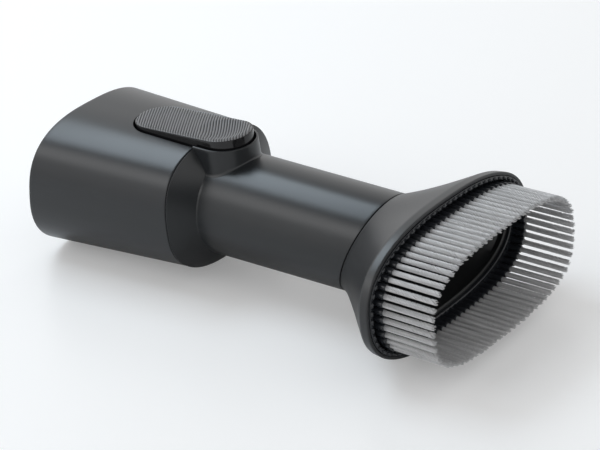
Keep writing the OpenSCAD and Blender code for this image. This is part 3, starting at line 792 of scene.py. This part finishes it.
def ribbedPlastic(name, look):
    # grey plastic with painted shade that makes it dark down in the grooves between the ribs; the crests keep
    # the plain grey
    material, tree = newMaterial(name)
    at = coords(tree)
    x, y, z = [addNode(tree, "ShaderNodeSeparateXYZ", {}, {"Vector": at}, axis) for axis in "XYZ"]
    slope, skew = math.radians(button["slope"]), math.radians(button["ribSkew"])
    along = (x - button["x"] * mm) * math.cos(slope) + (z - button["z"] * mm) * math.sin(slope)
    phase = (along + y * math.tan(skew)) * (2 * math.pi / (button["ribPitch"] * mm))
    # painted shade: the colour falls to a dark grey down in the grooves between the ribs
    crest = ramp(tree, phase.math("COSINE"), look["grooveShadeTo"], look["crestFrom"])
    cloud = noise(tree, at, look["cloudScale"], 4.0)
    grain = noise(tree, at, look["grainScale"], 2.0, 0.6)
    light = mixColour(tree, ramp(tree, cloud, 0.3, 0.7), rgba(look["crest"], 0.94), rgba(look["crest"], 1.06))
    finishShader(tree, {"Base Color": mixColour(tree, crest, rgba(look["grooveShade"]), light), "IOR": 1.5,
                        "Roughness": look["rough"] + (grain - 0.5) * look["roughGrain"],
                        "Normal": bumpOf(tree, grain, look["grainStrength"], look["grainDepth"])})
    return material


padPlastic = ribbedPlastic("padPlastic", {
    "grooveShade": (0.035, 0.035, 0.037), "crest": (0.27, 0.27, 0.277), "grooveShadeTo": -0.85, "crestFrom": 0.25,
    "cloudScale": 38.0, "grainScale": 2600.0, "rough": 0.40, "roughGrain": 0.08,
    "grainStrength": 0.16, "grainDepth": 0.00004})


def padHeight(x, y):
    # dome less a round thumb hollow, with ribs across it at a skew
    dome = button["domeTop"] - button["domeR"] + np.sqrt(button["domeR"] ** 2 - y ** 2)
    ballR = (button["thumbR"] ** 2 + button["thumbDepth"] ** 2) / (2 * button["thumbDepth"])
    ballZ = ballR - button["thumbDepth"] + button["thumbRaise"]
    far = np.clip(ballR ** 2 - (x - button["thumbU"]) ** 2 - y ** 2, 0, None)
    ball = ballZ - np.sqrt(far)
    smooth = 0.06
    base = -smooth * np.logaddexp(-dome / smooth, -ball / smooth)
    skew = math.radians(button["ribSkew"])
    phase = (x + y * math.tan(skew)) / button["ribPitch"]
    wave = 0.5 + 0.5 * np.cos(2 * np.pi * phase)
    ribs = wave ** 0.8
    halfFlat = button["halfL"] - button["r"]
    toEdge = button["r"] - np.hypot(np.clip(np.abs(x) - halfFlat, 0, None), y)
    fade = np.clip(toEdge / 0.7, 0, 1)
    return base - button["ribH"] + button["ribH"] * ribs * fade * (3 - 2 * fade) * fade


def padPart():
    cols, rows = 384, 104
    flat = button["halfL"] - button["r"]
    endX = flat + button["r"] * np.sin(np.linspace(0, np.pi / 2 - 0.02, 70))
    x = np.concatenate([-endX[::-1], np.linspace(-flat, flat, cols - 140 + 2)[1:-1], endX])
    half = np.sqrt(np.maximum(button["r"] ** 2 - np.clip(np.abs(x) - flat, 0, None) ** 2, 1e-4))
    edge = button["edgeRound"]
    v = np.sin(np.linspace(-np.pi / 2, np.pi / 2, rows) * 0.92) / math.sin(np.pi / 2 * 0.92)
    y = v[:, None] * (half - 0.02)[None, :]
    xx = np.broadcast_to(x, y.shape)
    toEdge = button["r"] - np.hypot(np.clip(np.abs(xx) - flat, 0, None), y)
    drop = edge - np.sqrt(np.maximum(edge ** 2 - np.clip(edge - toEdge, 0, edge) ** 2, 0))
    top = np.stack([xx, y, padHeight(xx, y) - drop], -1)
    low = np.stack([xx, y, np.full(y.shape, -button["padT"] + 0.02)], -1)
    rings = np.concatenate([top, low[::-1]])
    return gridPart(inButtonFrame(rings), closeRows=True, closeCols=False)


padMesh = meshOf("buttonPad", padPart())
work = bmesh.new()
work.from_mesh(padMesh)
bmesh.ops.holes_fill(work, edges=[e for e in work.edges if e.is_boundary], sides=0)
bmesh.ops.recalc_face_normals(work, faces=work.faces)
work.to_mesh(padMesh)
work.free()
place("buttonPad", padMesh, "button", padPlastic, ["button_pad"], 60)
coil = {"x": 70.8, "r": 3.2, "wireR": 0.32, "turns": 2.5, "low": 22.17, "high": 25.77, "keep": 0.36}


def coilPart():
    # wire along a helix, closed at both ends
    along = np.linspace(0, 1, 97)
    travel = along * coil["turns"] * 2 * np.pi
    around = turn(12)[None, :]
    r = coil["r"] + coil["wireR"] * np.cos(around)
    points = np.stack([coil["x"] + r * np.cos(travel)[:, None], r * np.sin(travel)[:, None],
                       mix(coil["low"], coil["high"], along)[:, None] + coil["wireR"] * np.sin(around)], -1)
    return cappedPart(points, flip=True)


coilObject = place("buttonSpring", meshOf("buttonSpring", coilPart()), "body", steel,
                   ["button_spring"], 60)
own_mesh(coilObject)
print("stage: button made")


# CAD nodes that stay as they are get a finish

finishes = {"socket_liner": innerPlastic, "liner_screws": steel, "socket_seal": sealRubber,
            "duct_gasket": sealRubber,
            "bearing_ring": whitePlastic, "lever_pin": steel, "swivel_spigot": innerPlastic,
            "clip_ring": steel, "swivel_seal": sealRubber}
for nodeName, material in finishes.items():
    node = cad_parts[nodeName]
    node.data.materials.clear()
    node.data.materials.append(material)


# Floor, light and camera

# The room above is dark to reflections, between two sines of height
studio = {"floorTilt": 1.06, "floorZ": -30.25, "floorX": -13.0, "floorColour": 0.80, "lift": 0.23,
          "worldLight": 0.55, "worldSeen": 1.0,
          "ceilingFrom": 0.60, "ceilingTo": 0.84, "ceilingDark": 0.96}
floorMesh = bpy.data.meshes.new("floor")
reachM = 6.0
rise = math.tan(math.radians(studio["floorTilt"]))
corners = [(x, y, studio["floorZ"] * mm + (x - studio["floorX"] * mm) * rise)
           for x, y in ((-reachM, -reachM), (reachM, -reachM), (reachM, reachM), (-reachM, reachM))]
floorMesh.from_pydata(corners, [], [(0, 1, 2, 3)])
floor = bpy.data.objects.new("floor", floorMesh)
bpy.context.scene.collection.objects.link(floor)
floorPaint, tree = newMaterial("floorPaint")
path = addNode(tree, "ShaderNodeLightPath", output="Is Camera Ray")
soft = addNode(tree, "ShaderNodeBsdfPrincipled", {}, {
    "Base Color": rgba((studio["floorColour"],) * 3), "Roughness": 0.30, "Specular IOR Level": 0.35})
glow = addNode(tree, "ShaderNodeEmission", {}, {"Color": (1, 1, 1, 1), "Strength": path * studio["lift"]})
both = addNode(tree, "ShaderNodeAddShader", {}, {0: soft, 1: glow})
addNode(tree, "ShaderNodeOutputMaterial", {}, {"Surface": both})
floorMesh.materials.append(floorPaint)

world = bpy.data.worlds.new("studio")
bpy.context.scene.world = world
world.use_nodes = True
tree = world.node_tree
tree.nodes.clear()
seen = (addNode(tree, "ShaderNodeLightPath", output="Is Camera Ray")
        + addNode(tree, "ShaderNodeLightPath", output="Is Glossy Ray")
        + addNode(tree, "ShaderNodeLightPath", output="Is Transmission Ray"))
direction = addNode(tree, "ShaderNodeTexCoord", output="Generated")
height = addNode(tree, "ShaderNodeSeparateXYZ", {}, {"Vector": direction}, "Z")
ceiling = ramp(tree, height, studio["ceilingFrom"], studio["ceilingTo"])
mirrored = addNode(tree, "ShaderNodeLightPath", output="Is Glossy Ray")
strength = studio["worldLight"] + seen * (studio["worldSeen"] - studio["worldLight"])
strength = strength * (1 - mirrored * ceiling * studio["ceilingDark"])
back = addNode(tree, "ShaderNodeBackground", {}, {"Color": (1, 1, 1, 1), "Strength": strength})
addNode(tree, "ShaderNodeOutputWorld", {}, {"Surface": back})


def softbox(name, light):
    # a rectangle of light at a bearing and height, turned to the object's middle
    a, e = math.radians(light["azimuth"]), math.radians(light["elevation"])
    middle = Vector((0.09, 0.0, 0.0))
    away = Vector((math.cos(a) * math.cos(e), math.sin(a) * math.cos(e), math.sin(e)))
    data = bpy.data.lights.new(name, "AREA")
    data.shape = "RECTANGLE"
    data.size, data.size_y = light["size"]
    data.energy, data.color = light["power"], light["colour"]
    lamp = bpy.data.objects.new(name, data)
    lamp.location = middle + away * light["distance"]
    lamp.rotation_mode = "QUATERNION"
    lamp.rotation_quaternion = away.to_track_quat("Z", "Y")
    bpy.context.scene.collection.objects.link(lamp)
    return lamp


lights = {
    "keyBand": {"azimuth": 176, "elevation": 53, "distance": 0.9, "size": (0.55, 0.30), "power": 3.0,
                "colour": (0.78, 0.90, 1.0)},
    "nearFill": {"azimuth": -128, "elevation": 34, "distance": 1.1, "size": (0.9, 0.35), "power": 1.6,
                 "colour": (1.0, 1.0, 1.0)},
}
for lightName, light in lights.items():
    softbox(lightName, light)

camera = bpy.data.objects.new("camera", bpy.data.cameras.new("camera"))
camera.data.sensor_width, camera.data.lens = 36.0, 118.81
camera.data.clip_start, camera.data.clip_end = 0.01, 50.0
right, down, ahead = (0.7777, 0.6223, -0.0889), (0.2249, -0.4075, -0.8851), (-0.5870, 0.6683, -0.4569)
spot = (0.54191, -0.50086, 0.34041)
camera.matrix_world = Matrix([[right[n], -down[n], -ahead[n], spot[n]] for n in range(3)] + [[0, 0, 0, 1]])
bpy.context.scene.collection.objects.link(camera)
bpy.context.scene.camera = camera
bpy.context.scene.view_settings.view_transform = "Standard"
print("stage: studio made")
